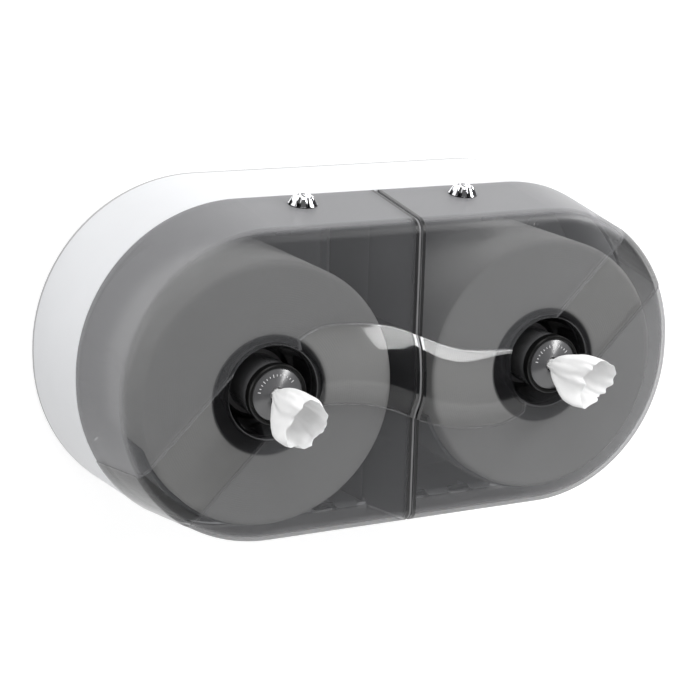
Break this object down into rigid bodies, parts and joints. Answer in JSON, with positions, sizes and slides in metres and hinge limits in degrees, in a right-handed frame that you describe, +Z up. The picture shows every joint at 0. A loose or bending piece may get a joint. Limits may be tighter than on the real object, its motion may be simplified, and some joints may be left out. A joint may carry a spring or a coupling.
{
  "type": "twin centre-feed tissue dispenser",
  "caption": "Wall-mounted centre-feed tissue dispenser with paired smoke covers that hinge down, keyed locks on top, feed nozzles in bowls and a raised wave across the front.",
  "frame": {"origin": "centre of the back face, which lies on the wall, in the middle of the mounting holes", "axes": "+X right as seen from the front, +Y into the wall, +Z up; the front faces -Y"},
  "size_m": [0.508, 0.2135, 0.274],
  "materials": {
    "housing_white": "smooth moulded white plastic",
    "divider_grey": "satin mid-grey plastic",
    "smoke_cover": "smoke translucent plastic, fine frost with a polished wave",
    "nozzle_dark": "satin dark plastic",
    "disc_dark": "glossy dark grey plastic",
    "ring_rubber": "satin black",
    "lock_chrome": "polished chrome",
    "cam_steel": "plain zinc-plated steel",
    "screw_steel": "bright steel",
    "cradle_grey": "satin grey plastic",
    "tissue": "soft white tissue paper"
  },
  "bodies": {
    "housing": {"rear_housing": "housing_white", "centre_divider": "divider_grey", "cradle_screws": "screw_steel", "strike_screws": "screw_steel", "left_lock_strike": "cam_steel", "left_hinge_pin": "screw_steel", "left_roll_cradle": "cradle_grey", "left_tissue_roll": "tissue", "right_lock_strike": "cam_steel", "right_hinge_pin": "screw_steel", "right_roll_cradle": "cradle_grey", "right_tissue_roll": "tissue"},
    "left_cover": {"left_cover": "smoke_cover", "left_nozzle_barrel": "nozzle_dark", "left_nozzle_disc": "disc_dark", "left_nozzle_ring": "ring_rubber", "left_nozzle_nut": "nozzle_dark", "left_lock_bezel": "lock_chrome", "left_lock_nut": "cam_steel", "left_tissue_tail": "tissue"},
    "left_lock": {"left_lock_plug": "lock_chrome", "left_lock_cam": "cam_steel", "left_cam_screw": "screw_steel"},
    "right_cover": {"right_cover": "smoke_cover", "right_nozzle_barrel": "nozzle_dark", "right_nozzle_disc": "disc_dark", "right_nozzle_ring": "ring_rubber", "right_nozzle_nut": "nozzle_dark", "right_lock_bezel": "lock_chrome", "right_lock_nut": "cam_steel", "right_tissue_tail": "tissue"},
    "right_lock": {"right_lock_plug": "lock_chrome", "right_lock_cam": "cam_steel", "right_cam_screw": "screw_steel"}
  },
  "joints": [
    {"name": "left_cover_hinge", "type": "hinge", "parent": "housing", "child": "left_cover", "pos_m": [-0.063, -0.092, -0.12715], "axis": [1, 0, 0], "range_deg": [0, 85]},
    {"name": "left_lock_turn", "type": "hinge", "parent": "left_cover", "child": "left_lock", "pos_m": [-0.0735, -0.11, 0.12791], "axis": [0, -0.1461, 0.9893], "range_deg": [0, 90]},
    {"name": "right_cover_hinge", "type": "hinge", "parent": "housing", "child": "right_cover", "pos_m": [0.063, -0.092, -0.12715], "axis": [1, 0, 0], "range_deg": [0, 85]},
    {"name": "right_lock_turn", "type": "hinge", "parent": "right_cover", "child": "right_lock", "pos_m": [0.0665, -0.11, 0.12791], "axis": [0, 0.1461, -0.9893], "range_deg": [0, 90]}
  ]
}
